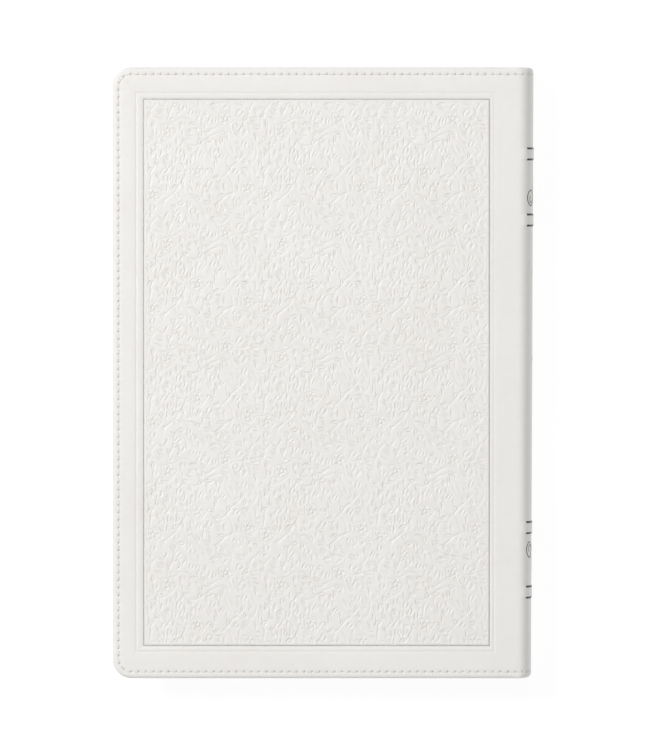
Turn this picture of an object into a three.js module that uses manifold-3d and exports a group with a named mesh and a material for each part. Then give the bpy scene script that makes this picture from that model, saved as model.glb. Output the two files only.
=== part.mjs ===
// A thick book of sewn sections in a soft stitched case, lying shut on its front cover.
// Millimetres. +X runs from the fore edge to the spine, +Y from tail to head and +Z from the
// front cover to the back cover. The origin is the middle of the face that the book lies on.
import * as THREE from "three";
import { mergeVertices } from "three/addons/utils/BufferGeometryUtils.js";
import Module from "manifold-3d";

const wasm = await Module();
wasm.setup();

// ---- Driving dimensions -------------------------------------------------------------------
const HEIGHT = 232; // case, tail to head
const THICK = 30; // front cover's outer face to back cover's outer face
const MIDDLE = THICK / 2;
const FORE_X = -80; // fore edge of the covers
const COVER_END_X = 70; // spine-side end of the stiff part of a cover
const CORNER_R = 7.2;

// Each cover, from outside in: a skin folded round a board, then a liner
const COVER_T = 2.2;
const SKIN_T = 0.8;
const RIM_W = 1; // skin turned up round the edge of the board
const BOARD = { from: 0.9, thick: 0.9, inset: 1.2 };
const LINER = { from: 1.9, thick: 0.25, inset: 1.3 };

// Seam round the case, and the two frame lines pressed into each cover
const SEAM = { inset: 2.2, width: 1.1, depth: 0.4 };
const THREAD = { width: 0.5, from: 0.05, thick: 0.25 };
const FRAMES = [
  { left: -68.1, right: 63, bottom: -103.5, top: 103.7 },
  { left: -71, right: 64.8, bottom: -105.8, top: 106.2 },
];
const FRAME_LINE = { width: 0.6, depth: 0.3 };

// Round spine: half ellipses about one axis, with flat flanges towards the covers
const SPINE = { x: 73.5, a: 6.1, b: MIDDLE };
const FLANGE_X = COVER_END_X + 0.3;
const CARD = { from: 0.9, to: 1.3 };
const MULL = { from: 1.4, to: 1.6 };
const FOLD_INSET = 1.75; // outside of the spine to the folds of the sections
const HUB = { rise: 0.4, width: 4.2, wall: 0.35, gap: 0.15, stripWidth: 2.6 };
const HUB_PLACES = [83.1, 58, -58.8, -83.3];
const ROUND_STEPS = 10;

// Leaves: sewn sections whose folds follow the round of the spine
const BUNDLES = 4;
const SECTIONS_PER_BUNDLE = 4;
const LEAVES = { height: 226, width: 152.4, cornerR: 5, from: 2.9 };
const SECTION_GAP = 0.1;
const FLYLEAF = { from: 2.5, thick: 0.2, right: 73 };

const HEADBAND = { r: 0.8, halfLength: 10.5, gap: 0.2, sides: 8, steps: 10 };

// ---- Finishes -----------------------------------------------------------------------------
const finish = (color, roughness) => new THREE.MeshStandardMaterial({ color, roughness, metalness: 0 });
const SKIN = finish(0xeceae6, 0.45);
const LINING = finish(0xf1eee8, 0.6);
const BOARD_CARD = finish(0xcfc7b8, 0.9);
const PAPER = finish(0xf5f1e6, 0.85);
const SEWING = finish(0xf6f4f0, 0.7);
const CLOTH = finish(0xe9e4d8, 0.95);

// ---- Shared shapes ------------------------------------------------------------------------
const book = new THREE.Group();

function add(name, geometry, material) {
  const mesh = new THREE.Mesh(geometry, material);
  mesh.name = name;
  book.add(mesh);
}

function toSolid(geometry) {
  const bare = geometry.clone();
  bare.deleteAttribute("normal");
  bare.deleteAttribute("uv");
  const merged = mergeVertices(bare, 1e-4);
  return new wasm.Manifold(
    new wasm.Mesh({
      numProp: 3,
      vertProperties: merged.attributes.position.array,
      triVerts: new Uint32Array(merged.index.array),
    }),
  );
}

function toGeometry(solid) {
  const mesh = solid.getMesh();
  const geometry = new THREE.BufferGeometry();
  geometry.setAttribute("position", new THREE.BufferAttribute(mesh.vertProperties, 3));
  geometry.setIndex(new THREE.BufferAttribute(mesh.triVerts, 1));
  geometry.computeVertexNormals();
  return geometry;
}

// A shape drawn in X and Y, given thickness from z0 to z1.
function layer(shape, z0, z1) {
  const options = { depth: z1 - z0, bevelEnabled: false, curveSegments: 5 };
  return new THREE.ExtrudeGeometry(shape, options).translate(0, 0, z0);
}

// A shape drawn in X and Z, run along the spine from y0 to y1.
function alongSpine(shape, y0, y1) {
  const options = { depth: y1 - y0, bevelEnabled: false, curveSegments: ROUND_STEPS };
  return new THREE.ExtrudeGeometry(shape, options).rotateX(Math.PI / 2).translate(0, y1, 0);
}

// A rectangle whose two fore-edge corners are rounded.
function foreRounded(left, right, halfHeight, radius) {
  const shape = new THREE.Shape();
  shape.moveTo(right, -halfHeight);
  shape.lineTo(right, halfHeight);
  shape.lineTo(left + radius, halfHeight);
  shape.absarc(left + radius, halfHeight - radius, radius, Math.PI / 2, Math.PI, false);
  shape.lineTo(left, -halfHeight + radius);
  shape.absarc(left + radius, -halfHeight + radius, radius, Math.PI, 1.5 * Math.PI, false);
  shape.closePath();
  return shape;
}

// The cover's outline, drawn smaller round three sides; right is its spine-side end.
function coverOutline(inset, right = COVER_END_X) {
  return foreRounded(FORE_X + inset, right, HEIGHT / 2 - inset, CORNER_R - inset);
}

// A band along tail, fore edge and head of a cover, with its middle at the seam.
function seamBand(width, right, z0, z1) {
  const outside = toSolid(layer(coverOutline(SEAM.inset - width / 2, right), z0, z1));
  const past = coverOutline(SEAM.inset + width / 2, COVER_END_X + 10);
  return outside.subtract(toSolid(layer(past, z0 - 1, z1 + 1)));
}

function frameRectangle({ left, right, bottom, top }, grow) {
  const shape = new THREE.Shape();
  shape.moveTo(left - grow, bottom - grow);
  shape.lineTo(right + grow, bottom - grow);
  shape.lineTo(right + grow, top + grow);
  shape.lineTo(left - grow, top + grow);
  shape.closePath();
  return shape;
}

function frameGroove(frame) {
  const half = FRAME_LINE.width / 2;
  const outside = toSolid(layer(frameRectangle(frame, half), -1, FRAME_LINE.depth));
  return outside.subtract(toSolid(layer(frameRectangle(frame, -half), -2, 1)));
}

// A half ellipse round the spine, this far inside its outer surface.
const spineRound = (inset) => ({ a: SPINE.a - inset, b: SPINE.b - inset });

// A strip between two of those half ellipses, with flanges that run to flangeX.
function spineStrip(outer, inner, flangeX) {
  const shape = new THREE.Shape();
  shape.moveTo(flangeX, MIDDLE - outer.b);
  shape.absellipse(SPINE.x, MIDDLE, outer.a, outer.b, -Math.PI / 2, Math.PI / 2, false);
  shape.lineTo(flangeX, MIDDLE + outer.b);
  shape.lineTo(flangeX, MIDDLE + inner.b);
  shape.absellipse(SPINE.x, MIDDLE, inner.a, inner.b, Math.PI / 2, -Math.PI / 2, true);
  shape.lineTo(flangeX, MIDDLE - inner.b);
  shape.closePath();
  return shape;
}

// Where the folds of the sections lie at a height above or below the middle of the book.
function foldX(fromMiddle) {
  const round = spineRound(FOLD_INSET);
  return SPINE.x + round.a * Math.sqrt(1 - (fromMiddle / round.b) ** 2);
}

// A piece of the front cover, turned over to make its twin on the back cover.
const turnedOver = (solid) => solid.mirror([0, 0, 1]).translate([0, 0, THICK]);

// ---- Covers -------------------------------------------------------------------------------
function coverSkin() {
  let skin = toSolid(layer(coverOutline(0), 0, COVER_T));
  skin = skin.subtract(toSolid(layer(coverOutline(RIM_W, COVER_END_X + 5), SKIN_T, COVER_T + 1)));
  skin = skin.subtract(seamBand(SEAM.width, COVER_END_X + 5, -1, SEAM.depth));
  for (const frame of FRAMES) skin = skin.subtract(frameGroove(frame));
  return skin;
}

function coverSheet({ from, thick, inset }) {
  return toSolid(layer(coverOutline(inset, COVER_END_X - inset), from, from + thick));
}

function coverThread() {
  return seamBand(THREAD.width, COVER_END_X - 0.3, THREAD.from, THREAD.from + THREAD.thick);
}

const coverPieces = [
  ["cover_skin", coverSkin(), SKIN],
  ["cover_board", coverSheet(BOARD), BOARD_CARD],
  ["cover_liner", coverSheet(LINER), LINING],
  ["cover_stitching", coverThread(), SEWING],
];
for (const [name, solid, material] of coverPieces) {
  add("front_" + name, toGeometry(solid), material);
  add("back_" + name, toGeometry(turnedOver(solid)), material);
}

// ---- Spine --------------------------------------------------------------------------------
// Each raised hub is a card strip laid across the spine under the skin.
function spineSkin() {
  const half = HEIGHT / 2;
  let skin = toSolid(alongSpine(spineStrip(spineRound(0), spineRound(SKIN_T), FLANGE_X), -half, half));
  for (const y of HUB_PLACES) {
    const crown = { a: SPINE.a + HUB.rise, b: SPINE.b };
    const band = spineStrip(crown, spineRound(SKIN_T / 2), SPINE.x - 0.1);
    const pocketTop = { a: crown.a - HUB.wall, b: SPINE.b - HUB.wall };
    const pocket = spineStrip(pocketTop, spineRound(SKIN_T + 0.5), SPINE.x - 0.4);
    const reach = HUB.stripWidth / 2 + HUB.gap;
    skin = skin.add(toSolid(alongSpine(band, y - HUB.width / 2, y + HUB.width / 2)));
    skin = skin.subtract(toSolid(alongSpine(pocket, y - reach, y + reach)));
  }
  for (const side of [-1, 1]) {
    const y = side * (half - SEAM.inset);
    const channel = spineStrip(spineRound(-1), spineRound(SEAM.depth), FLANGE_X - 1);
    skin = skin.subtract(toSolid(alongSpine(channel, y - SEAM.width / 2, y + SEAM.width / 2)));
  }
  return toGeometry(skin);
}
add("spine_skin", spineSkin(), SKIN);

HUB_PLACES.forEach((y, i) => {
  const under = HUB.wall + HUB.gap;
  const top = { a: SPINE.a + HUB.rise - under, b: SPINE.b - under };
  const strip = spineStrip(top, spineRound(SKIN_T), SPINE.x - 0.2);
  const half = HUB.stripWidth / 2;
  add("hub_strip_" + (i + 1), alongSpine(strip, y - half, y + half), BOARD_CARD);
});

for (const [end, side] of [["head", 1], ["tail", -1]]) {
  const y = side * (HEIGHT / 2 - SEAM.inset);
  const inner = spineRound(THREAD.from + THREAD.thick);
  const thread = spineStrip(spineRound(THREAD.from), inner, FLANGE_X + 0.2);
  const half = THREAD.width / 2;
  add("spine_stitching_" + end, alongSpine(thread, y - half, y + half), SEWING);
}

const spineLinings = [
  ["spine_card", CARD, HEIGHT / 2 - 1, BOARD_CARD],
  ["spine_mull", MULL, LEAVES.height / 2 - 10, CLOTH],
];
for (const [name, { from, to }, halfLength, material] of spineLinings) {
  const strip = spineStrip(spineRound(from), spineRound(to), SPINE.x - 0.3);
  add(name, alongSpine(strip, -halfLength, halfLength), material);
}

// ---- Leaves -------------------------------------------------------------------------------
function leafOutline(right, width) {
  return foreRounded(right - width, right, LEAVES.height / 2, LEAVES.cornerR);
}

const sectionCount = BUNDLES * SECTIONS_PER_BUNDLE;
const pitch = (THICK - 2 * LEAVES.from) / sectionCount;
for (let i = 0; i < sectionCount; i++) {
  const z0 = LEAVES.from + i * pitch + SECTION_GAP / 2;
  const z1 = z0 + pitch - SECTION_GAP;
  const right = foldX(Math.max(Math.abs(z0 - MIDDLE), Math.abs(z1 - MIDDLE)));
  const name = "section_" + String(i + 1).padStart(2, "0");
  add(name, layer(leafOutline(right, LEAVES.width), z0, z1), PAPER);
}

const flyleafWidth = FLYLEAF.right - foldX(MIDDLE - LEAVES.from) + LEAVES.width;
const flyleafOutline = leafOutline(FLYLEAF.right, flyleafWidth);
const flyleaf = toSolid(layer(flyleafOutline, FLYLEAF.from, FLYLEAF.from + FLYLEAF.thick));
add("front_flyleaf", toGeometry(flyleaf), LINING);
add("back_flyleaf", toGeometry(turnedOver(flyleaf)), LINING);

// ---- Head and tail bands ------------------------------------------------------------------
class FoldCurve extends THREE.Curve {
  constructor(y) {
    super();
    this.y = y;
  }
  getPoint(t, target = new THREE.Vector3()) {
    const fromMiddle = HEADBAND.halfLength * (2 * t - 1);
    return target.set(foldX(fromMiddle) - HEADBAND.r, this.y, MIDDLE + fromMiddle);
  }
}

function headband(y) {
  const round = new THREE.Shape();
  for (let i = 0; i < HEADBAND.sides; i++) {
    const turn = (2 * Math.PI * i) / HEADBAND.sides;
    const point = [HEADBAND.r * Math.cos(turn), HEADBAND.r * Math.sin(turn)];
    if (i === 0) round.moveTo(...point);
    else round.lineTo(...point);
  }
  round.closePath();
  return new THREE.ExtrudeGeometry(round, { extrudePath: new FoldCurve(y), steps: HEADBAND.steps });
}
const bandY = LEAVES.height / 2 + HEADBAND.gap + HEADBAND.r;
add("head_band", headband(bandY), CLOTH);
add("tail_band", headband(-bandY), CLOTH);

export default book;
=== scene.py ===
import math

import bpy
import numpy as np
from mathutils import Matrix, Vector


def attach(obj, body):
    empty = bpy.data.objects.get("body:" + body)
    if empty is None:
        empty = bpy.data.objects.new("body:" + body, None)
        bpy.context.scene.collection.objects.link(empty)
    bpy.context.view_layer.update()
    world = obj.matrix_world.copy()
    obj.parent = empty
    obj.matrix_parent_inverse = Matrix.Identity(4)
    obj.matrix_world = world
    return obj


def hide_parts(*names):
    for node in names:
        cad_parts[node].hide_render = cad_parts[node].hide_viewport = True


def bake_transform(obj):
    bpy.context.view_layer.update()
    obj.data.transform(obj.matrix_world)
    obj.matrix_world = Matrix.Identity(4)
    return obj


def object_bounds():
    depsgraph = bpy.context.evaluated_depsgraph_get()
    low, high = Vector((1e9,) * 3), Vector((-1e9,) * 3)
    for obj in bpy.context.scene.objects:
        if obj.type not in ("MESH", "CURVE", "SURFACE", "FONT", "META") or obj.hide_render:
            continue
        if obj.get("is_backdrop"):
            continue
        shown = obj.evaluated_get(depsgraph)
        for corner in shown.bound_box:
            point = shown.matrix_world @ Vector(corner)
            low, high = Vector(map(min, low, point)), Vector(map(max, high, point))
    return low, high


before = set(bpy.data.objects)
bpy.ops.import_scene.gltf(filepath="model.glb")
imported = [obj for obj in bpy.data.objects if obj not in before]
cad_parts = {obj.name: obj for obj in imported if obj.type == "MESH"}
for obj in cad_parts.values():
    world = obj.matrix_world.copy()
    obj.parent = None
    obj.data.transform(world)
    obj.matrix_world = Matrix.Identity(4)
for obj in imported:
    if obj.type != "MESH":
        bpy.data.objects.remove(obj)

cad_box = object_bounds()

# ---- Floor, light and camera ---------------------------------------------------------------
# The shut book lies on its front cover on a pale table. The camera hangs over its middle with
# the head of the book upwards, and the main light comes from beyond its head, on the left.
MM = 0.001
CAMERA_HEIGHT = 4.0
CAMERA_X, CAMERA_Y, AIM_Y = 0.0006, 0.07, -0.0008  # a little nearer the head, looking back
VIEW_HEIGHT = 0.2846  # what the camera takes in, head to tail, at the back cover
SENSOR = 36.0

bpy.ops.object.select_all(action="DESELECT")
camera_at = (CAMERA_X, CAMERA_Y, cad_box[1][2] + CAMERA_HEIGHT)
look_back = -math.atan2(CAMERA_Y - AIM_Y, CAMERA_HEIGHT)
bpy.ops.object.camera_add(location=camera_at, rotation=(look_back, 0, 0))
camera = bpy.context.object
camera.data.sensor_width = SENSOR
camera.data.lens = SENSOR * CAMERA_HEIGHT / VIEW_HEIGHT
camera.data.clip_end = 20
bpy.context.scene.camera = camera

for name, place, size, watts in (
    ("key_light", (-0.9, 0.62, 1.7), 0.6, 26),
    ("top_light", (0.2, -0.2, 5.6), 2.4, 45),
):
    bpy.ops.object.light_add(type="AREA", location=place)
    light = bpy.context.object
    light.name = name
    light.data.size = size
    light.data.energy = watts
    aim = -np.array(place) / np.linalg.norm(place)
    light.rotation_euler = (math.acos(-aim[2]), 0, math.atan2(aim[1], aim[0]) - math.pi / 2)

world = bpy.data.worlds.new("room")
world.use_nodes = True
world.node_tree.nodes["Background"].inputs["Color"].default_value = (1, 1, 1, 1)
world.node_tree.nodes["Background"].inputs["Strength"].default_value = 0.36
bpy.context.scene.world = world
bpy.context.scene.view_settings.view_transform = "Standard"

bpy.ops.mesh.primitive_plane_add(size=6, location=(0, 0, -0.0002))
floor = bpy.context.object
floor.name = "floor"
floor_paint = bpy.data.materials.new("floor_paint")
floor_paint.use_nodes = True
floor_shader = floor_paint.node_tree.nodes["Principled BSDF"]
floor_shader.inputs["Base Color"].default_value = (0.2, 0.2, 0.2, 1)
floor_shader.inputs["Roughness"].default_value = 0.9
floor_shader.inputs["Emission Color"].default_value = (1, 1, 1, 1)
floor_shader.inputs["Emission Strength"].default_value = 0.87
floor.data.materials.append(floor_paint)
floor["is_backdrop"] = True


# ---- Case skin -----------------------------------------------------------------------------
# The case is covered in one white imitation leather: a soft plastic film on cloth, rolled with
# a fine pore grain. It is a little warmer where it is pressed and slightly uneven in gloss.
# Its needle holes are darkened with painted shade.
class Finish:
    """A material being made: its shader, and a short way to add and join nodes."""

    def __init__(self, name, roughness, metallic=0.0):
        self.material = bpy.data.materials.new(name)
        self.material.use_nodes = True
        self.tree = self.material.node_tree
        self.shader = self.tree.nodes["Principled BSDF"]
        self.shader.inputs["Roughness"].default_value = roughness
        self.shader.inputs["Metallic"].default_value = metallic
        self.place = self.tree.nodes.new("ShaderNodeTexCoord").outputs["Object"]

    def node(self, kind, settings=None, **inputs):
        made = self.tree.nodes.new(kind)
        for key, value in (settings or {}).items():
            setattr(made, key, value)
        for key, value in inputs.items():
            socket = made.inputs[key.replace("_", " ")]
            if isinstance(value, bpy.types.NodeSocket):
                self.tree.links.new(value, socket)
            else:
                socket.default_value = value
        return made

    def stretched(self, scale, turn=(0, 0, 0)):
        made = self.node("ShaderNodeMapping", Vector=self.place, Scale=scale, Rotation=turn)
        return made.outputs[0]

    def noise(self, scale, detail=3.0, where=None):
        where = where or self.place
        made = self.node("ShaderNodeTexNoise", Vector=where, Scale=scale, Detail=detail)
        return made.outputs["Fac"]

    def ramp(self, value, low, high, dark, light):
        made = self.node("ShaderNodeValToRGB", Fac=value)
        first, last = made.color_ramp.elements
        first.position, last.position = low, high
        first.color, last.color = (*dark, 1), (*light, 1)
        return made.outputs["Color"]

    def spread(self, value, low, high):
        made = self.node("ShaderNodeMapRange", Value=value, To_Min=low, To_Max=high)
        return made.outputs["Result"]

    def mix(self, share, a, b):
        made = self.node("ShaderNodeMix", {"data_type": "RGBA"})
        sockets = made.inputs[0], made.inputs[6], made.inputs[7]
        for socket, value in zip(sockets, (share, a, b)):
            if isinstance(value, bpy.types.NodeSocket):
                self.tree.links.new(value, socket)
            else:
                socket.default_value = value if isinstance(value, float) else (*value, 1)
        return made.outputs[2]

    def maths(self, operation, a, b):
        made = self.node("ShaderNodeMath", {"operation": operation})
        for socket, value in zip(made.inputs, (a, b)):
            if isinstance(value, bpy.types.NodeSocket):
                self.tree.links.new(value, socket)
            else:
                socket.default_value = value
        return made.outputs[0]

    def paint(self, colour):
        self.tree.links.new(colour, self.shader.inputs["Base Color"])

    def gloss(self, roughness):
        self.tree.links.new(roughness, self.shader.inputs["Roughness"])

    def raise_by(self, height, strength, distance):
        bump = self.node("ShaderNodeBump", Height=height, Strength=strength, Distance=distance)
        self.tree.links.new(bump.outputs["Normal"], self.shader.inputs["Normal"])


def white_skin(name, warm):
    """Grained white film; warm is the tint of its pores. Painted shade darkens the needle holes."""
    skin = Finish(name, 0.46)
    wander = skin.noise(34, 2)
    flecks = skin.noise(420, 4)
    tint = skin.ramp(wander, 0.35, 0.68, (0.785, 0.767, 0.742), (0.8, 0.785, 0.762))
    speck = skin.ramp(flecks, 0.3, 0.62, warm, (1, 1, 1))
    mixed = skin.node("ShaderNodeMix", {"data_type": "RGBA", "blend_type": "MULTIPLY"})
    mixed.inputs[0].default_value = 1.0
    skin.tree.links.new(tint, mixed.inputs[6])
    skin.tree.links.new(speck, mixed.inputs[7])
    # Painted shade: the needle holes, marked by a point attribute, are darkened to a dark warm grey.
    painted_shade_share = skin.node("ShaderNodeAttribute", {"attribute_name": "hole_shade"}).outputs["Fac"]
    skin.paint(skin.mix(painted_shade_share, mixed.outputs[2], (0.33, 0.27, 0.265)))
    pores = skin.node(
        "ShaderNodeTexVoronoi", {"feature": "DISTANCE_TO_EDGE"},
        Vector=skin.place, Scale=1350.0, Randomness=1.0,
    )
    creases = skin.spread(pores.outputs["Distance"], 0.0, 1.0)
    grain = skin.maths("ADD", creases, skin.maths("MULTIPLY", skin.noise(2300, 2), 0.35))
    skin.raise_by(grain, 0.32, 0.00005)
    skin.gloss(skin.spread(skin.noise(190, 3), 0.4, 0.53))
    skin.shader.inputs["Specular IOR Level"].default_value = 0.45
    return skin.material


case_white = white_skin("case_white", (0.985, 0.98, 0.972))


def put(name, points, faces, material, body=None, slot=None, sharp=35, hole_shade=None):
    """A piece from points in millimetres and rows of corner numbers."""
    mesh = bpy.data.meshes.new(name)
    mesh.from_pydata((np.asarray(points, float) * MM).tolist(), [], [list(f) for f in faces])
    # Each point's share of painted shade in the needle holes.
    if hole_shade is not None:
        mesh.attributes.new("hole_shade", "FLOAT", "POINT").data.foreach_set("value", hole_shade)
    mesh.materials.append(material)
    mesh.shade_smooth()
    mesh.set_sharp_from_angle(angle=math.radians(sharp))
    piece = bpy.data.objects.new(name, mesh)
    bpy.context.collection.objects.link(piece)
    if body:
        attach(piece, body)
    return piece


def smooth(t):
    """A soft step from nought to one."""
    t = np.clip(t, 0, 1)
    return t * t * (3 - 2 * t)


# ---- Cover borders -------------------------------------------------------------------------
# The margin of each cover: skin turned round the board's edge and glued down inside, so the
# edge is a soft roll. A sewing machine pulls a shallow furrow along three sides, and two
# frame lines are pressed with a hot brass rule.
THICK = 30.0  # the whole book; all sizes of its pieces are in millimetres
FORE, HINGE_EDGE, HALF_HEIGHT = -80.0, 70.15, 116.0
CORNER = 7.2
INNER_FRAME = (-68.1, 63.0, -103.5, 103.7)
OUTER_FRAME = (-71.0, 64.8, -105.8, 106.2)
SEAM_INSET = (2.3, 2.5, 2.7)  # fore edge, tail, head
STITCH_PITCH = 2.87
PANEL_SUNK = 0.14  # the band between the two frames slopes down to the panel by this much
RULE_DEEP = 0.44  # the inner frame line
SIDE_LENGTHS = (142.95, 7.7, 217.0, 7.7, 142.95)  # of the seam: tail, corner, fore, corner, head
STITCHES = round(sum(SIDE_LENGTHS) / STITCH_PITCH)
HOLE_STATIONS = np.array([-0.5, -0.17, -0.09, -0.035, 0.035, 0.09, 0.17]) + 1.0


def stations():
    """Where the points of a loop stand on each of its five stretches, closest at the holes."""
    pitch = sum(SIDE_LENGTHS) / STITCHES
    far = (np.arange(-1, STITCHES + 1)[:, None] + HOLE_STATIONS).ravel() * pitch
    starts = np.cumsum((0,) + SIDE_LENGTHS)
    shares = []
    for side, (start, end) in enumerate(zip(starts[:-1], starts[1:])):
        inside = (far[(far > start + 0.05) & (far < end - 0.05)] - start) / (end - start)
        extra = np.linspace(0, 1, 2 if side % 2 == 0 else 9)
        shares.append(np.unique(np.round(np.r_[inside, extra], 6)))
    return shares


STATIONS = stations()


def margin_loop(left, right, bottom, top, radius, height):
    """Points once round a cover, from the hinge at the tail, by the fore edge, to the head."""
    tail, low, fore, high, head = STATIONS
    low, high = low[1:-1] * math.pi / 2, high[1:-1] * math.pi / 2
    parts = [
        np.c_[right + (left + radius - right) * tail, np.full(len(tail), bottom)],
        np.c_[left + radius - radius * np.sin(low), bottom + radius - radius * np.cos(low)],
        np.c_[np.full(len(fore), left), bottom + radius + (top - bottom - 2 * radius) * fore],
        np.c_[left + radius - radius * np.cos(high), top - radius + radius * np.sin(high)],
        np.c_[left + radius + (right - left - radius) * head, np.full(len(head), top)],
    ]
    flat = np.vstack(parts)
    return np.c_[flat, np.broadcast_to(height, len(flat))]


def frame_loop(rule, grow, height):
    """A loop round one of the pressed frames, grown outwards by so much."""
    left, right, bottom, top = rule
    return margin_loop(left - grow, right + grow, bottom - grow, top + grow, 0.15, height)


def edge_loop(inset, height, right):
    """A loop that keeps its distance from the cut edge on three sides."""
    radius = max(CORNER - inset, 0.3)
    reach = HALF_HEIGHT - inset
    return margin_loop(FORE + inset, right, -reach, reach, radius, height)


def seam_loop(offset, height, right):
    """A loop beside the seam, which lies a little differently on each side."""
    left, tail, head = (inset + offset for inset in SEAM_INSET)
    bottom, top = -HALF_HEIGHT + tail, HALF_HEIGHT - head
    return margin_loop(FORE + left, right, bottom, top, CORNER - left, height)


def along(points):
    """How far each point lies along its line."""
    steps = np.linalg.norm(np.diff(points[:, :2], axis=0), axis=1)
    return np.r_[0, np.cumsum(steps)]


def needle_holes(points, reach):
    """How near each point of a loop is to a needle hole, from nought to one."""
    far = along(points)
    phase = far / (far[-1] / STITCHES)
    return np.exp(-(((phase - np.round(phase)) * STITCH_PITCH / reach) ** 2))


def border_loops():
    """The loops of a back cover's border: its face, the roll of the edge, then the inside."""
    right = iter(HINGE_EDGE - 0.001 * np.arange(40))  # no two loops end at the same place
    holes = needle_holes(seam_loop(0, THICK, HINGE_EDGE), 0.34)
    loops = [
        frame_loop(INNER_FRAME, 0.0, THICK - RULE_DEEP),
        frame_loop(INNER_FRAME, 0.22, THICK - RULE_DEEP),
        frame_loop(INNER_FRAME, 0.36, THICK - PANEL_SUNK - 0.05),
        frame_loop(INNER_FRAME, 0.55, THICK - PANEL_SUNK),
        frame_loop(OUTER_FRAME, -0.65, THICK - 0.01),
        frame_loop(OUTER_FRAME, -0.4, THICK - 0.03),
        frame_loop(OUTER_FRAME, -0.05, THICK - 0.2),
        frame_loop(OUTER_FRAME, 0.05, THICK - 0.2),
        frame_loop(OUTER_FRAME, 0.4, THICK - 0.03),
        frame_loop(OUTER_FRAME, 0.7, THICK),
        edge_loop(6.5, THICK + 0.02, 67.5),
        seam_loop(1.7, THICK, next(right)),
        seam_loop(0.9, THICK - 0.01, next(right)),
        seam_loop(0.5, THICK - 0.04 - 0.03 * holes, next(right)),
        seam_loop(0.26, THICK - 0.08 - 0.15 * holes, next(right)),
        seam_loop(0.0, THICK - 0.1 - 0.4 * holes, next(right)),
        seam_loop(-0.26, THICK - 0.08 - 0.15 * holes, next(right)),
        seam_loop(-0.5, THICK - 0.04 - 0.03 * holes, next(right)),
    ]
    # Painted shade in and beside the needle holes of the seam.
    hole_shade = [np.zeros(len(holes)) for _ in loops]
    hole_shade[-3] = 0.8 * holes**2
    hole_shade[-4] = hole_shade[-2] = 0.4 * holes**2

    for inset, drop in (
        (1.3, 0.03), (0.9, 0.09), (0.58, 0.22), (0.3, 0.44), (0.1, 0.78), (0.0, 1.15),
        (0.06, 1.5), (0.24, 1.85), (0.5, 2.08), (0.85, 2.2), (1.05, 2.17), (1.1, 0.82),
    ):
        loops.append(edge_loop(inset, THICK - drop, next(right)))
    loops.append(frame_loop(INNER_FRAME, 0.0, THICK - 0.82))
    hole_shade += [np.zeros(len(holes))] * (len(loops) - len(hole_shade))
    return loops, np.concatenate(hole_shade)


def ring_faces(loops, count):
    """Quads between neighbouring loops, the last of which joins the first again."""
    faces = []
    for i in range(loops):
        a, b = i * count, (i + 1) % loops * count
        faces += [(a + j, a + (j + 1) % count, b + (j + 1) % count, b + j) for j in range(count)]
    return faces


def turned(points, faces, side):
    """The same piece for the front cover: turned over, with its faces still outwards."""
    points = np.array(points, float)
    if side == "front":
        points[:, 2] = THICK - points[:, 2]
        faces = [tuple(reversed(f)) for f in faces]
    return points, faces


for side in ("back", "front"):
    loops, hole_shade = border_loops()
    points, faces = turned(np.vstack(loops), ring_faces(len(loops), len(loops[0])), side)
    border = put(
        f"{side}_cover_border", points, faces, case_white, f"{side}_cover", "case_skin", 50, hole_shade
    )
    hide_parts(f"{side}_cover_skin")


# ---- Cover panels --------------------------------------------------------------------------
# Inside the frame the skin is pressed on a heated plate engraved with a trailing vine: thin
# curving stems, curls, small leaves and round flowers with five petals, one repeat after
# another. The plate bites just under half a millimetre into the skin.
REPEAT = 43.1
TILE_CELLS = 431
STEP = 0.2  # between the touches of a stem
BITE = 0.46
FLOWERS = ((9.4, 11.8), (31.2, 7.4), (20.6, 27.2), (39.8, 33.4), (3.6, 36.2))

draw = np.random.default_rng(26)
tile = np.zeros((TILE_CELLS, TILE_CELLS))
tile_step = REPEAT / TILE_CELLS
marks = np.zeros((2, 0))


def press(x, y, width, deep):
    """One touch of the engraving, on the repeat that runs on over its own edges."""
    reach = int(2.4 * width / tile_step) + 1
    i, j = int(round(x / tile_step)), int(round(y / tile_step))
    span = np.arange(-reach, reach + 1)
    ix, iy = (i + span), (j + span)
    away = (ix * tile_step - x)[:, None] ** 2 + (iy * tile_step - y)[None, :] ** 2
    window = np.ix_(ix % TILE_CELLS, iy % TILE_CELLS)
    tile[window] = np.maximum(tile[window], deep * np.exp(-away / width**2))


def cut(points, width, deep):
    """A line of touches that swells from thin ends; it then counts as taken ground."""
    global marks
    points = np.asarray(points)
    swell = np.sin(np.linspace(0.25, math.pi - 0.25, len(points))) ** 0.6
    for (x, y), s in zip(points, swell):
        press(x, y, width * (0.7 + 0.3 * s), deep * s)
    marks = np.c_[marks, points.T]


def clear_of(x, y, known):
    """How far a place is from all that was engraved before."""
    gap = np.abs(known - np.array([[x], [y]])) % REPEAT
    gap = np.minimum(gap, REPEAT - gap)
    return math.sqrt((gap**2).sum(0).min()) if known.size else REPEAT


def stem(x, y, heading, swing, length, clear):
    """Follow a bending stem until it is done or comes too near to another."""
    known, path = marks, []
    for k in range(int(length / STEP)):
        if k > 9 and clear_of(x, y, known) < clear:
            break
        path.append((x, y))
        heading += STEP * swing(k * STEP)
        x, y = x + STEP * math.cos(heading), y + STEP * math.sin(heading)
    return path


def stroke(x, y, heading, length, bow, deep):
    """One bowed stroke of the graver."""
    t = np.linspace(0, 1, 24)
    out = bow * np.sin(math.pi * t**0.85)
    cut(np.c_[
        x + length * t * math.cos(heading) - out * math.sin(heading),
        y + length * t * math.sin(heading) + out * math.cos(heading),
    ], 0.2, deep)


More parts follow.
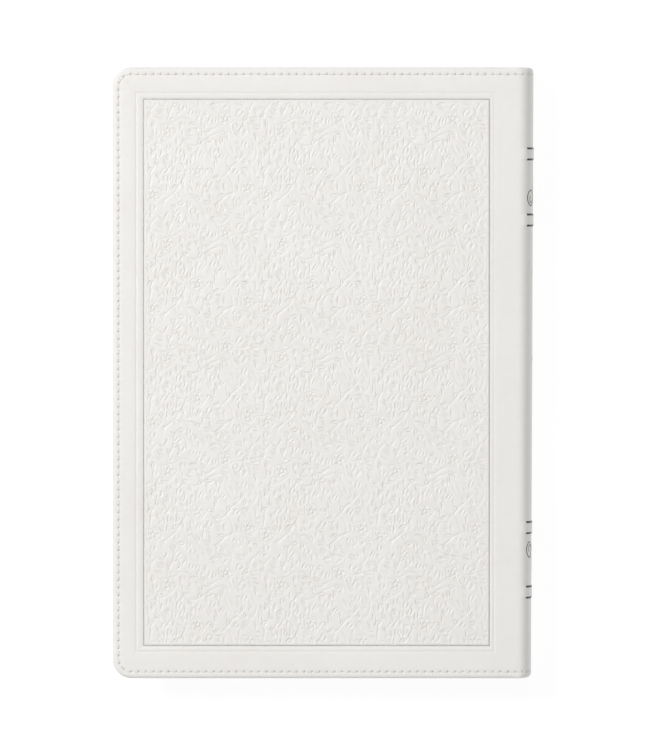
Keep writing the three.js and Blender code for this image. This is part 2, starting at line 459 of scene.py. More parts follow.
for cx, cy in FLOWERS:
    whole = np.linspace(0, 2 * math.pi, 84, endpoint=False)
    for radius, deep in ((2.75, 0.4), (0.85, 0.9)):
        ring = radius * (1 + 0.12 * np.cos(5 * whole) * (radius > 1))
        ring = np.array([cx + ring * np.cos(whole), cy + ring * np.sin(whole)])
        for x, y in ring.T:
            press(x, y, 0.24, deep)
        marks = np.c_[marks, ring]
    for k in range(5):
        petal = (k + 0.5) * 2 * math.pi / 5 + np.linspace(0, 0.7, 8)
        reach = np.linspace(1.2, 2.3, 8)
        cut(np.c_[cx + reach * np.cos(petal), cy + reach * np.sin(petal)], 0.22, 0.95)

grown = []
for cx, cy in FLOWERS:
    for k in range(3):
        out = draw.uniform(0, 0.8) + k * 2.1
        wave, bend = draw.uniform(0, 6), draw.uniform(-0.09, 0.09)
        swing = lambda s, w=wave, b=bend: b + 0.17 * math.sin(0.42 * s + w)
        grown.append(stem(
            cx + 3.1 * math.cos(out), cy + 3.1 * math.sin(out), out + draw.uniform(-0.5, 0.5),
            swing, draw.uniform(13, 24), 0.9,
        ))
        cut(grown[-1], 0.2, 0.5)
for _ in range(9):
    turn_rate = draw.uniform(-0.16, 0.16)
    x, y = draw.uniform(0, REPEAT, 2)
    hair = stem(x, y, draw.uniform(0.2, 2.9), lambda s, b=turn_rate: b, 15, 0.0)
    cut(hair, 0.19, 0.38)
for path in grown:
    for k in range(16, len(path) - 6, 17):
        (x, y), (nx, ny) = path[k], path[k + 1]
        heading, way = math.atan2(ny - y, nx - x), 1 if (k // 17) % 2 else -1
        if k % 3 == 1:
            curl = lambda s, w=way: -w * (0.12 + 0.09 * s)
            tendril = stem(x, y, heading + way * 0.5, curl, 8, 0.7)
            cut(tendril, 0.23, 0.75)
        leaning = heading + way * 0.75
        tip = (x + 2.6 * math.cos(leaning), y + 2.6 * math.sin(leaning))
        if clear_of(*tip, marks) > 0.7:
            length, wide = draw.uniform(2.2, 3.2), draw.uniform(0.35, 0.55)
            for bow, deep in ((0.12 * length + wide, 1.0), (0.12 * length - wide, 0.7)):
                stroke(x, y, leaning, length, bow, deep)
for wanted, size, tries in ((1.4, 2.6, 800), (1.1, 1.9, 500), (0.85, 1.2, 200)):
    for _ in range(tries):
        x, y = draw.uniform(0, REPEAT, 2)
        heading = 1.3 + draw.uniform(-1.0, 1.0)
        middle = (x + size / 2 * math.cos(heading), y + size / 2 * math.sin(heading))
        if clear_of(*middle, marks) > wanted and clear_of(x, y, marks) > 0.5:
            length, bow = size * draw.uniform(0.85, 1.15), size * draw.uniform(-0.2, 0.26)
            deep = draw.uniform(0.6, 1.0)
            stroke(x, y, heading, length, bow, deep)
            if draw.uniform() < 0.7:
                beside = (x + 0.75 * math.sin(heading), y - 0.75 * math.cos(heading))
                stroke(*beside, heading, 0.75 * length, -bow, 0.9 * deep)


def engraved(x, y):
    """Depth of the engraving at places on the cover, as a share of the bite."""
    u = ((x - INNER_FRAME[0]) / tile_step) % TILE_CELLS
    v = ((INNER_FRAME[3] - y) / tile_step) % TILE_CELLS
    i, j = np.floor(u).astype(int) % TILE_CELLS, np.floor(v).astype(int) % TILE_CELLS
    fu, fv = u - np.floor(u), v - np.floor(v)
    i2, j2 = (i + 1) % TILE_CELLS, (j + 1) % TILE_CELLS
    low = tile[i, j] * (1 - fu) + tile[i2, j] * fu
    return low * (1 - fv) + (tile[i, j2] * (1 - fu) + tile[i2, j2] * fu) * fv


def slab(surface, floor_height):
    """A closed slab under a rectangular grid of surface points."""
    rows, columns = surface.shape[:2]
    top = surface.reshape(-1, 3)
    number = np.arange(rows * columns).reshape(rows, columns)
    a, b, c, d = (number[:-1, :-1], number[:-1, 1:], number[1:, 1:], number[1:, :-1])
    faces = np.stack([a, b, c, d], -1).reshape(-1, 4).tolist()
    rim = np.r_[number[0, :-1], number[:-1, -1], number[-1, :0:-1], number[:0:-1, 0]]
    foot = top[rim].copy()
    foot[:, 2] = floor_height
    middle = foot.mean(0)
    first = len(top)
    count = len(rim)
    for k in range(count):
        after = (k + 1) % count
        faces.append((rim[after], rim[k], first + k, first + after))
        faces.append((first + after, first + k, first + count))
    return np.vstack([top, foot, middle]), faces


def pressed_panel(cell):
    """The panel's surface on a grid of about this cell size."""
    left, right, bottom, top = INNER_FRAME
    columns = np.linspace(left, right, int((right - left) / cell) + 1)
    rows = np.linspace(bottom, top, int((top - bottom) / cell) + 1)
    x, y = np.meshgrid(columns, rows)
    from_rule = np.minimum.reduce([x - left, right - x, y - bottom, top - y])
    bitten = BITE * engraved(x, y) * smooth((from_rule - 0.4) / 0.9)
    groove = (RULE_DEEP - PANEL_SUNK) * (1 - smooth(from_rule / 0.42))
    return np.stack([x, y, THICK - PANEL_SUNK - bitten - groove], -1)


# The front cover, which lies underneath, has a coarser grid.
for side, cell, strips in (("back", 0.23, 6), ("front", 0.48, 2)):
    panel = pressed_panel(cell)
    cuts = np.linspace(0, len(panel) - 1, strips + 1).astype(int)
    for strip, (start, end) in enumerate(zip(cuts[:-1], cuts[1:])):
        points, faces = turned(*slab(panel[start : end + 1], THICK - 0.8), side)
        name = f"{side}_cover_panel_{strip + 1}"
        piece = put(name, points, faces, case_white, f"{side}_cover", "case_skin", 60)
        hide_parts(f"{side}_cover_skin")


# ---- Frame foil ----------------------------------------------------------------------------
# A narrow line of dull silver foil lies in the bottom of each inner frame groove, where the
# hot rule pressed it.
foil = Finish("dull_silver_foil", 0.42, 0.85)
foil.paint(foil.ramp(foil.noise(900, 3), 0.3, 0.7, (0.27, 0.26, 0.285), (0.37, 0.36, 0.385)))
foil.gloss(foil.spread(foil.noise(1500, 2), 0.32, 0.5))
frame_foil = foil.material

for side in ("back", "front"):
    loops = [
        frame_loop(INNER_FRAME, grow, THICK - RULE_DEEP + lift)
        for grow, lift in ((0.26, -0.005), (0.24, 0.04), (-0.24, 0.04), (-0.26, -0.005))
    ]
    points, faces = turned(np.vstack(loops), ring_faces(4, len(loops[0])), side)
    faces = [tuple(reversed(f)) for f in faces]
    put(f"{side}_cover_frame_foil", points, faces, frame_foil, f"{side}_cover", "case_skin")


# ---- Seam thread ---------------------------------------------------------------------------
# White bonded thread, lock-stitched about nine to the inch. Each stitch is a short round
# length whose ends dive into the needle holes.
thread = Finish("seam_thread", 0.55)
fibres = thread.noise(3000, 2)
thread.paint(thread.ramp(fibres, 0.3, 0.7, (0.74, 0.725, 0.705), (0.8, 0.785, 0.765)))
twist = thread.stretched((1, 1, 0.2), (0, 0, 0.6))
plies = thread.node("ShaderNodeTexWave", Vector=twist, Scale=900.0)
thread.raise_by(plies.outputs["Fac"], 0.4, 0.00005)
seam_thread = thread.material
STITCH_LENGTH, THREAD_RADIUS, ARCH = 2.3, 0.21, 0.16

bpy.ops.mesh.primitive_uv_sphere_add(segments=10, ring_count=8, radius=1, location=(0, 0, 0))
bead = bpy.context.object
bead_points = np.array([v.co for v in bead.data.vertices])[:, [2, 0, 1]]
bead_faces = [tuple(p.vertices) for p in bead.data.polygons]
bpy.data.objects.remove(bead)
one_stitch = np.sign(bead_points) * np.abs(bead_points) ** (0.55, 1, 1)
one_stitch *= (STITCH_LENGTH / 2, THREAD_RADIUS, THREAD_RADIUS)
one_stitch[:, 2] += ARCH * (1 - (one_stitch[:, 0] / (STITCH_LENGTH / 2)) ** 2) - ARCH


def stitched(middles, directions, ups):
    """Copies of the stitch laid at these middles, as one set of points and faces."""
    points, faces = [], []
    for middle, ahead, up in zip(middles, directions, ups):
        ahead = ahead / np.linalg.norm(ahead)
        across = np.cross(up, ahead)
        faces += [tuple(c + len(points) * len(one_stitch) for c in f) for f in bead_faces]
        points.append(one_stitch @ np.array([ahead, across, up]) + middle)
    return np.vstack(points), faces


seam = seam_loop(0, THICK - 0.04, HINGE_EDGE)
seam_far = along(seam)


def on_seam(share):
    """Places on the seam, this share of the way along each stitch."""
    far = (np.arange(STITCHES) + share) * seam_far[-1] / STITCHES
    return np.stack([np.interp(far, seam_far, seam[:, axis]) for axis in range(3)], -1)


upwards = np.tile([0, 0, 1.0], (STITCHES, 1))
for side in ("back", "front"):
    points, faces = stitched(on_seam(0.5), on_seam(0.7) - on_seam(0.3), upwards)
    points, faces = turned(points, faces, side)
    seam_piece = put(f"{side}_cover_stitches", points, faces, seam_thread, f"{side}_cover", "thread")
    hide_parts(f"{side}_cover_stitching")


# ---- Spine skin ----------------------------------------------------------------------------
# The skin runs on from cover to cover round the rounded back, over four card hubs. It bends
# between the bundles of leaves and at both covers, so it is made in five strips along the
# book that meet edge to edge.
SPINE_X, SPINE_ROUND = 73.5, 6.1  # where the round begins, and how far it stands out
SPINE_HEAD, SPINE_TAIL = 6.45, 5.55  # the round is a little flatter at the tail
SHOULDER = 2.9  # 2 would be an ellipse; more makes the shoulders squarer
SPINE_SKIN_T = 0.7
TURN_IN_T = 2.15  # beside the covers the skin is turned in and as thick as they are
CAP_ROUND = 1.7  # the ends of the round are drawn in over the bands
HUBS = (83.1, 58.0, -58.8, -83.3)
HUB_HALF, HUB_RISE = 2.1, 0.24
STRIP_ENDS = (THICK, 26.0, 18.0, 12.0, 4.0, 0.0)
STRIP_BODIES = (
    ("last_pages", "back_cover"), ("third_pages", "last_pages"), ("second_pages", "third_pages"),
    ("first_pages", "second_pages"), ("first_pages", "front_cover"),
)
STRIP_BENDS = (
    ((77, 0, 0), (71, 0, 0)), ((0, 0, 18.05), (0, 0, 24.05)), ((0, 0, 12.05), (0, 0, 17.95)),
    ((0, 0, 5.95), (0, 0, 11.95)), ((77, 0, 0), (71, 0, 0)),
)

turn = np.linspace(math.pi / 2, -math.pi / 2, 721)
full = 2 / SHOULDER
rounded = np.c_[
    SPINE_X + SPINE_ROUND * np.cos(turn) ** full,
    THICK / 2 * (1 + np.sign(np.sin(turn)) * np.abs(np.sin(turn)) ** full),
]
flat_run = np.linspace(HINGE_EDGE, SPINE_X, 30)[:-1]
on_round = slice(len(flat_run) + 1, -len(flat_run))
upper_round = slice(len(flat_run) + 1, len(flat_run) + 351)
profile = np.vstack([
    np.c_[flat_run, np.full_like(flat_run, THICK)],
    rounded,
    np.c_[flat_run[::-1], np.zeros_like(flat_run)],
])
lean = np.gradient(profile, axis=0)
lean = np.c_[-lean[:, 1], lean[:, 0]] / np.linalg.norm(lean, axis=1)[:, None]
profile_far = along(profile)
profile_far -= profile_far[-1] / 2  # nought on the crown, more towards the front cover


def hub_lift(x, y):
    """How far the hubs raise the skin; they die away towards the covers."""
    rise = sum(smooth((HUB_HALF + 0.35 - np.abs(y - hub)) / 0.7) for hub in HUBS)
    return HUB_RISE * rise * smooth((x - SPINE_X - 0.8) / 2.5)


def round_back(far, y, inside=0.0):
    """Points on the spine: how far round from the crown, how far along, how deep inside."""
    far, y, inside = np.broadcast_arrays(far, y, inside)
    x = np.interp(far, profile_far, profile[:, 0])
    z = np.interp(far, profile_far, profile[:, 1])
    nx = np.interp(far, profile_far, lean[:, 0])
    nz = np.interp(far, profile_far, lean[:, 1])
    flat = SPINE_TAIL + (SPINE_HEAD - SPINE_TAIL) * (y / HALF_HEIGHT + 1) / 2
    x = np.where(x > SPINE_X, SPINE_X + (x - SPINE_X) * flat / SPINE_ROUND, x)
    from_end = np.clip(HALF_HEIGHT - np.abs(y), 0, CAP_ROUND)
    drawn_in = CAP_ROUND - np.sqrt(CAP_ROUND**2 - (CAP_ROUND - from_end) ** 2)
    depth = inside - hub_lift(x, y) + drawn_in * smooth((x - SPINE_X) / 3.5)
    return np.stack([x - nx * depth, y, z - nz * depth], -1)


def strip_far(strip):
    """How far round from the crown a strip starts and ends."""
    ends = []
    for height in STRIP_ENDS[strip : strip + 2]:
        if height in (0.0, THICK):
            ends.append(profile_far[0] if height else profile_far[-1])
        else:
            far = np.interp(-height, -profile[on_round, 1], profile_far[on_round])
            ends.append(float(far))
    return ends


def shell(outer, inner):
    """A closed sheet between two grids of the same size."""
    rows, columns = outer.shape[:2]
    number = np.arange(rows * columns).reshape(rows, columns)
    under = number + rows * columns
    faces = []
    for grid, way in ((number, 1), (under, -1)):
        quads = np.stack([grid[:-1, :-1], grid[:-1, 1:], grid[1:, 1:], grid[1:, :-1]], -1)
        faces += quads.reshape(-1, 4)[:, ::way].tolist()
    rim = np.r_[number[0, :-1], number[:-1, -1], number[-1, :0:-1], number[:0:-1, 0]]
    count = len(rim)
    for k in range(count):
        a, b = rim[k], rim[(k + 1) % count]
        faces.append((b, a, a + rows * columns, b + rows * columns))
    return np.vstack([outer.reshape(-1, 3), inner.reshape(-1, 3)]), faces


def bend_strip(piece, strip):
    """Bake a strip's placement into its points."""
    start, end = (tuple(v * MM for v in place) for place in STRIP_BENDS[strip])
    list(STRIP_BODIES[strip])
    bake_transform(piece)
    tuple(start)
    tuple(end)


end_roll = HALF_HEIGHT - np.array([0, 0.05, 0.15, 0.3, 0.5, 0.75, 1.05, 1.4])
seam_rows = HALF_HEIGHT - np.arange(1.7, 3.4, 0.14)
hub_edges = [hub + way * np.linspace(1.6, 2.6, 8) for hub in HUBS for way in (-1, 1)]
hub_rows = np.concatenate(hub_edges)
spine_rows = np.unique(np.round(np.r_[
    np.linspace(-112, 112, 150), end_roll, -end_roll, seam_rows, -seam_rows, hub_rows
], 3))
round_length = 2 * profile_far[-1]
SPINE_STITCHES = round(round_length / STITCH_PITCH)
SPINE_PITCH = round_length / SPINE_STITCHES
spine_holes = (np.arange(-1, SPINE_STITCHES + 1)[:, None] + HOLE_STATIONS).ravel()
spine_holes = spine_holes * SPINE_PITCH + profile_far[0]
SPINE_SEAMS = (("head", HALF_HEIGHT - SEAM_INSET[2]), ("tail", -HALF_HEIGHT + SEAM_INSET[1]))

for strip in range(5):
    start, end = strip_far(strip)
    near = spine_holes[(spine_holes > start + 0.05) & (spine_holes < end - 0.05)]
    across, length = np.meshgrid(np.unique(np.r_[np.linspace(start, end, 16), near]), spine_rows)
    from_end = HALF_HEIGHT - np.abs(length)
    flange = 1 - smooth((np.interp(across, profile_far, profile[:, 0]) - 71.6) / 3.0)
    thickness = SPINE_SKIN_T + (TURN_IN_T - SPINE_SKIN_T) * flange
    nose = 1 - np.clip(from_end / (0.2 + 0.45 * thickness), 0, 1)
    roll = 0.46 * thickness * (1 - np.sqrt(1 - nose**2))
    phase = (across - profile_far[0]) / SPINE_PITCH
    holes = np.exp(-(((phase - np.round(phase)) * SPINE_PITCH / 0.34) ** 2))
    # The furrow of each seam, and painted shade in its needle holes.
    furrow, hole_shade = 0, 0
    for _, seam_y in SPINE_SEAMS:
        beside = np.exp(-(((length - seam_y) / 0.4) ** 2))
        furrow = furrow + (0.09 + 0.3 * holes) * beside
        hole_shade = hole_shade + 0.8 * holes**2 * beside**2
    skin_grid = round_back(across, length, roll + furrow)
    under_grid = round_back(across, length, thickness - roll)
    points, faces = shell(skin_grid, under_grid)
    hole_shade = np.r_[hole_shade.ravel(), np.zeros(hole_shade.size)]
    skin_strip = put(
        f"spine_skin_{strip + 1}", points, faces, case_white, slot="case_skin", sharp=50, hole_shade=hole_shade
    )
    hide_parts("spine_skin")
    bend_strip(skin_strip, strip)

# The seam runs on over the two ends of the spine with the same stitch.
for strip in range(5):
    start, end = strip_far(strip)
    every = profile_far[0] + (np.arange(SPINE_STITCHES) + 0.5) * SPINE_PITCH
    middle_far = every[(every >= start) & (every < end)]
    for end_name, seam_y in SPINE_SEAMS:
        here, before, after = (
            round_back(middle_far + step, seam_y, 0.04) for step in (0, -0.3, 0.3)
        )
        outward = round_back(middle_far, seam_y, -1.0) - here
        outward /= np.linalg.norm(outward, axis=1)[:, None]
        points, faces = stitched(here, after - before, outward)
        name = f"spine_stitches_{end_name}_{strip + 1}"
        stitches = put(name, points, faces, seam_thread, slot="thread")
        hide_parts(f"spine_stitching_{end_name}")
        bend_strip(stitches, strip)


# ---- Spine foil ----------------------------------------------------------------------------
# Dark pewter foil, blocked through a brass die: a line on each side of every hub, scrolls
# that stand beside the inner hubs, and a plain cross in the middle of the spine.
pewter = Finish("pewter_foil", 0.42, 0.15)
pewter.shader.inputs["Specular IOR Level"].default_value = 0.2
wear = pewter.noise(1400, 4)
pewter.paint(pewter.ramp(wear, 0.32, 0.66, (0.008, 0.008, 0.009), (0.02, 0.02, 0.022)))
pewter.gloss(pewter.spread(pewter.noise(2600, 2), 0.26, 0.48))
pewter_foil = pewter.material
FOIL_LIFT = 0.035
LINE_WIDTH, SCROLL_WIDTH, CROSS_WIDTH = 0.72, 0.38, 1.5
CURL_RADIUS = 2.95
LINE_END_X = 77.1
LINE_REACH = -float(np.interp(LINE_END_X, profile[upper_round, 0], profile_far[upper_round]))
CURL_FAR = LINE_REACH - 0.4 - CURL_RADIUS


def scroll(hub, updown):
    """A pair of curls on one bud-topped stem, standing on a hub line."""
    y = hub + updown * 8.4
    lines = []
    for way in (-1, 1):
        t = np.linspace(0, 10.4, 80)
        radius = CURL_RADIUS * (1 - 0.66 * smooth((t - 4.4) / 6.0))
        lines.append(np.c_[way * (CURL_FAR - radius * np.cos(t)), y - updown * radius * np.sin(t)])
        t = np.linspace(0, 1, 26)
        lines.append(np.c_[way * (CURL_FAR - CURL_RADIUS) * (1 - t**2), y + updown * 9.4 * t])
        t = np.linspace(0, math.pi, 22)
        lines.append(np.c_[way * (1.7 - 1.5 * np.cos(t)), y + updown * (0.8 - 2.4 * np.sin(t))])
    rise = np.linspace(0, 1, 20)
    lines.append(np.c_[np.zeros(20), y + updown * (-5.2 + 15.5 * rise)])
    bud = np.linspace(0, 2 * math.pi, 30)
    lines.append(np.c_[0.95 * np.sin(bud), y + updown * (11.6 + 1.5 * np.cos(bud))])
    return lines


foil_lines = []
for hub in HUBS:
    for edge in (-HUB_HALF, HUB_HALF):
        run = np.linspace(-LINE_REACH, LINE_REACH, 90)
        foil_lines.append((np.c_[run, np.full(90, hub + edge)], LINE_WIDTH))
for hub, updown in ((HUBS[1], 1), (HUBS[2], -1)):
    foil_lines += [(line, SCROLL_WIDTH) for line in scroll(hub, updown)]
bar = np.linspace(0, 1, 40)
foil_lines.append((np.c_[0 * bar, 13 - 24 * bar], CROSS_WIDTH))
foil_lines.append((np.c_[-5.5 + 11 * bar, 0 * bar + 5.5], CROSS_WIDTH))


def ribbon(line, width):
    """A thin foil ribbon that follows the spine along a line of (round, along) places."""
    ahead = np.gradient(line, axis=0)
    aside = np.c_[-ahead[:, 1], ahead[:, 0]] / (np.linalg.norm(ahead, axis=1)[:, None] + 1e-9)
    rims = [line + aside * width / 2 * share for share in (-1, -0.33, 0.33, 1)]
    outer = np.stack([round_back(r[:, 0], r[:, 1], -FOIL_LIFT) for r in rims])
    inner = np.stack([round_back(r[:, 0], r[:, 1], 0.02) for r in rims])
    return shell(outer[::-1], inner[::-1])


def pieces_of(line, start, end):
    """The stretches of a line that lie on one strip of the spine."""
    fine = [line[0]]
    for a, b in zip(line[:-1], line[1:]):
        steps = max(1, int(np.linalg.norm(b - a) / 0.3))
        fine += [a + (b - a) * k / steps for k in range(1, steps + 1)]
    fine = np.array(fine)
    inside = (fine[:, 0] >= start) & (fine[:, 0] <= end)
    edges = np.flatnonzero(np.diff(np.r_[0, inside.astype(int), 0]))
    for a, b in zip(edges[::2], edges[1::2]):
        if b - a > 2:
            yield fine[max(a - 1, 0) : b + 1]


def joined(parts):
    """Several sets of points and faces as one."""
    points, faces, base = [], [], 0
    for more, corners in parts:
        points.append(more)
        faces += [tuple(c + base for c in f) for f in corners]
        base += len(more)
    return np.vstack(points), faces


for strip in range(5):
    points, faces = joined(
        ribbon(stretch, width)
        for line, width in foil_lines
        for stretch in pieces_of(line, *strip_far(strip))
    )
    blocked = put(f"spine_foil_{strip + 1}", points, faces, pewter_foil, slot="case_skin")
    bend_strip(blocked, strip)


# ---- Spine linings -------------------------------------------------------------------------
# Under the skin: a strip of grey card that keeps the spine smooth, the card hubs on top of
# it, and the open cloth called mull, glued over the folds of the sections.
card = Finish("grey_card", 0.9)
card.paint(card.ramp(card.noise(700, 5), 0.3, 0.7, (0.3, 0.27, 0.22), (0.43, 0.39, 0.33)))
card.raise_by(card.noise(1800, 4), 0.4, 0.0001)
grey_card = card.material

mull = Finish("mull_cloth", 0.95)
weave = mull.node("ShaderNodeTexChecker", Vector=mull.place, Scale=1400.0)
mull.paint(mull.mix(weave.outputs["Fac"], (0.7, 0.66, 0.58), (0.8, 0.77, 0.7)))
mull.raise_by(weave.outputs["Fac"], 0.6, 0.00012)
mull_cloth = mull.material

LININGS = (
    ("spine_card", 0.82, 1.1, 115.0, grey_card, "board"),
    ("spine_mull", 1.2, 1.35, 103.0, mull_cloth, "cloth"),
)
for name, outside, inside, reach, material, slot in LININGS:
    for strip in range(5):
        far = np.linspace(*strip_far(strip), 12)
        far = far[np.interp(far, profile_far, profile[:, 0]) >= SPINE_X]
        across, length = np.meshgrid(far, np.linspace(-reach, reach, 90))
        under_hubs = hub_lift(np.interp(across, profile_far, profile[:, 0]), length)
        outer = round_back(across, length, outside + under_hubs)
        inner = round_back(across, length, inside + under_hubs)
        lining = put(f"{name}_{strip + 1}", *shell(outer, inner), material, slot=slot)
        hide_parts(name)
        bend_strip(lining, strip)

for strip in (1, 2, 3):
    parts = []
    for hub in HUBS:
        far = np.linspace(*strip_far(strip), 12)
        across, length = np.meshgrid(far, np.linspace(hub - 1.3, hub + 1.3, 5))
        parts.append(shell(round_back(across, length, 0.74), round_back(across, length, 1.18)))
    hubs = put(f"hub_strips_{strip}", *joined(parts), grey_card, slot="board")
    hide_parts(*[f"hub_strip_{k + 1}" for k in range(4)])
    bend_strip(hubs, strip)


# ---- Head and tail bands -------------------------------------------------------------------
# A folded strip of white and silver striped cotton round a cord, glued to the ends of the
# back so that it just covers the folds at head and tail.
BAND_RADIUS, BAND_Y = 0.85, 113.95
BAND_ROUND = 14  # points round the cord
striped = Finish("striped_band", 0.7)
bars = striped.node(
    "ShaderNodeTexWave", {"bands_direction": "Z"}, Vector=striped.place, Scale=160.0, Distortion=0.0
)
striped.paint(striped.ramp(bars.outputs["Fac"], 0.42, 0.58, (0.42, 0.43, 0.46), (0.84, 0.83, 0.8)))
ribs = striped.node("ShaderNodeTexWave", {"bands_direction": "Z"}, Vector=striped.place, Scale=900.0)
striped.raise_by(ribs.outputs["Fac"], 0.5, 0.0001)
striped_band = striped.material

for band, y in (("head_band", BAND_Y), ("tail_band", -BAND_Y)):
    for strip in (1, 2, 3):
        heights = np.clip(np.linspace(STRIP_ENDS[strip], STRIP_ENDS[strip + 1], 16), 4.6, 25.4)
        fold = SPINE_X + 4.3 * np.sqrt(1 - ((heights - 15) / 13.25) ** 2)
        around = np.linspace(0, 2 * math.pi, BAND_ROUND, endpoint=False)
        rings = [
            np.c_[
                x - BAND_RADIUS + BAND_RADIUS * np.cos(around),
                y + BAND_RADIUS * np.sin(around),
                np.full(BAND_ROUND, z),
            ]
            for x, z in zip(fold, heights)
        ]
        faces = []
        for a in range(0, 15 * BAND_ROUND, BAND_ROUND):
            for j, after in zip(range(BAND_ROUND), [*range(1, BAND_ROUND), 0]):
                faces.append((a + j, a + BAND_ROUND + j, a + BAND_ROUND + after, a + after))
        faces.append(tuple(range(BAND_ROUND)))
        faces.append(tuple(reversed(range(15 * BAND_ROUND, 16 * BAND_ROUND))))
        piece = put(f"{band}_{strip}", np.vstack(rings), faces, striped_band, slot="cloth")
        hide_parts(band)
        bend_strip(piece, strip)


# ---- Sections, flyleaves and boards --------------------------------------------------------
# Each section is a bundle of thin folded leaves. Their cut edges were pressed together, rubbed
# smooth and silvered, so the block shows fine bright lines with the paper's cream between.
leaves = Finish("cut_leaves", 0.5)
sheets = leaves.noise(1.0, 2, leaves.stretched((22, 22, 9000)))
tone = leaves.noise(1.0, 3, leaves.stretched((60, 60, 1400)))
silvered = leaves.ramp(sheets, 0.34, 0.62, (0.5, 0.49, 0.47), (0.8, 0.8, 0.81))
plain = leaves.ramp(leaves.noise(500, 4), 0.3, 0.7, (0.8, 0.76, 0.66), (0.84, 0.81, 0.72))
normal = leaves.node("ShaderNodeNewGeometry").outputs["True Normal"]
upward = leaves.node("ShaderNodeSeparateXYZ", Vector=normal).outputs["Z"]
face_on = leaves.maths("GREATER_THAN", leaves.maths("ABSOLUTE", upward, 0.0), 0.7)
edge_on = leaves.maths("SUBTRACT", 1.0, face_on)
leaves.paint(leaves.mix(face_on, silvered, plain))
leaves.tree.links.new(leaves.maths("MULTIPLY", edge_on, 0.75), leaves.shader.inputs["Metallic"])
duller = leaves.maths("MULTIPLY", face_on, 0.4)
leaves.gloss(leaves.maths("ADD", duller, leaves.spread(tone, 0.28, 0.5)))
leaves.raise_by(leaves.maths("MULTIPLY", sheets, edge_on), 0.6, 0.00012)

end_paper = Finish("end_paper", 0.75)
cloudy = end_paper.noise(260, 5)
end_paper.paint(end_paper.ramp(cloudy, 0.3, 0.7, (0.78, 0.76, 0.71), (0.83, 0.82, 0.78)))
end_paper.raise_by(end_paper.noise(2200, 4), 0.3, 0.00004)

for name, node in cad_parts.items():
    if name.startswith("section_"):
        finish = leaves.material
    elif name.endswith(("_flyleaf", "_cover_liner")):
        finish = end_paper.material
    elif name.endswith("_cover_board"):
        finish = grey_card
    else:
        continue
    node.data.materials.clear()
    node.data.materials.append(finish)


# ---- Facing leaves -------------------------------------------------------------------------
# At each place where the leaves part, the two facing leaves run into the fold. They lie flat,
# as in the shut book. Their print is two columns of grey lines that spell nothing.
page = Finish("printed_page", 0.8)
paper_tone = page.ramp(page.noise(420, 5), 0.3, 0.7, (0.82, 0.79, 0.7), (0.86, 0.835, 0.76))
lying_flat = page.node("ShaderNodeAttribute", {"attribute_name": "flat_place"}).outputs["Vector"]
axes = page.node("ShaderNodeSeparateXYZ", Vector=lying_flat)
x_axis, y_axis = axes.outputs["X"], axes.outputs["Y"]
LINE_PITCH, COLUMN_FAR, GAP_HALF, TEXT_HALF = 0.003, 0.056, 0.004, 0.096
row = page.maths("DIVIDE", y_axis, LINE_PITCH)
dash = page.maths("LESS_THAN", page.maths("FRACT", row, 0.0), 0.36)
row_number = page.maths("FLOOR", row, 0.0)
word_place = page.node(
    "ShaderNodeCombineXYZ", X=page.maths("MULTIPLY", x_axis, 330.0), Y=row_number
)
words = page.maths("GREATER_THAN", page.noise(1.0, 1, word_place.outputs[0]), 0.4)
from_middle = page.maths("SUBTRACT", x_axis, 0.001)
apart = page.maths("ABSOLUTE", from_middle, 0.0)
off_middle = page.maths("GREATER_THAN", apart, GAP_HALF)
in_columns = page.maths("MULTIPLY", off_middle, page.maths("LESS_THAN", apart, COLUMN_FAR))
in_height = page.maths("LESS_THAN", page.maths("ABSOLUTE", y_axis, 0.0), TEXT_HALF)
in_block = page.maths("MULTIPLY", in_columns, in_height)
ink = page.maths("MULTIPLY", page.maths("MULTIPLY", dash, words), in_block)
page.paint(page.mix(ink, paper_tone, (0.3, 0.29, 0.28)))
page.raise_by(page.noise(1900, 4), 0.25, 0.00004)

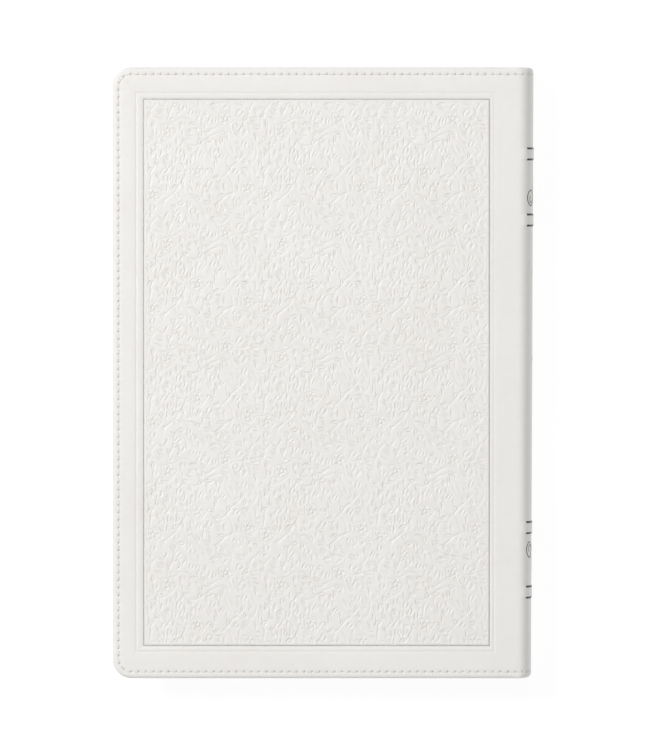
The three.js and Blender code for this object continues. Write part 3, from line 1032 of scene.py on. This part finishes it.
BLOCK_FOOT = 2.9  # the block of sections starts here, above the cover and the flyleaf
SECTION_PITCH = (THICK - 2 * BLOCK_FOOT) / 16
LEAF_LEFT, LEAF_HALF, LEAF_CORNER = -73.6, 112.9, 5.0
for order, (below, above) in enumerate(
    (("first_pages", "second_pages"), ("second_pages", "third_pages"), ("third_pages", "last_pages"))
):
    parting = BLOCK_FOOT + 4 * (order + 1) * SECTION_PITCH
    for own, other, low, high in ((below, above, -0.042, -0.012), (above, below, 0.012, 0.042)):
        section_right = 77.8 if order == 1 else 77.2
        stops = np.r_[np.linspace(LEAF_LEFT, 68, 18), np.linspace(68.5, section_right + 1.2, 26)]
        lines = []
        for x in stops:
            past = max(0.0, LEAF_LEFT + LEAF_CORNER - x)
            half = LEAF_HALF - LEAF_CORNER + math.sqrt(max(LEAF_CORNER**2 - past**2, 0))
            lines.append(np.c_[np.full(24, x), np.linspace(-half, half, 24)])
        flat = np.array(lines).transpose(1, 0, 2)
        sides = [
            np.concatenate([flat, np.full((*flat.shape[:2], 1), parting + height)], -1)
            for height in (high, low)
        ]
        number = 2 * order + (1 if own == below else 2)
        facing = put(f"facing_leaf_{number}", *shell(*sides), page.material, slot="page_paper")
        places = np.zeros(3 * len(facing.data.vertices))
        facing.data.vertices.foreach_get("co", places)
        flat_place = facing.data.attributes.new("flat_place", "FLOAT_VECTOR", "POINT")
        flat_place.data.foreach_set("vector", places)
        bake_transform(facing)


# ---- Endpaper folds ------------------------------------------------------------------------
# Each endpaper is one folded sheet: half is pasted on the board and half is the flyleaf. The
# fold between them bends round the hinge of the cover.
for side, own in (("front", "first_pages"), ("back", "last_pages")):
    bend = np.linspace(-math.pi / 2, math.pi / 2, 13)
    path = np.vstack([
        np.c_[np.linspace(66, 73.6, 10), np.full(10, 2.24)],
        np.c_[73.6 + 0.5 * np.cos(bend), 2.35 + 0.11 * np.sin(bend)],
        np.c_[np.linspace(73.6, 66, 10), np.full(10, 2.46)],
    ])
    if side == "back":
        path = np.c_[path[:, 0], THICK - path[:, 1]][::-1]
    step = np.gradient(path, axis=0)
    away = np.c_[step[:, 1], -step[:, 0]] / (np.linalg.norm(step, axis=1)[:, None] + 1e-9)
    length = np.linspace(-112.5, 112.5, 40)
    grids = []
    for shift in (0.02, -0.02):
        x, z = (path + away * shift).T
        grids.append(np.array([np.c_[x, np.full(len(x), y), z] for y in length]))
    fold = put(f"{side}_endpaper_fold", *shell(*grids), end_paper.material, slot="end_paper")
    low, high = (2.26, 2.44) if side == "front" else (THICK - 2.26, THICK - 2.44)
    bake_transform(fold)


boxes = {"cad": cad_box, "visual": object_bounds()}
plain = {name: [[float(v) for v in corner] for corner in box] for name, box in boxes.items()}
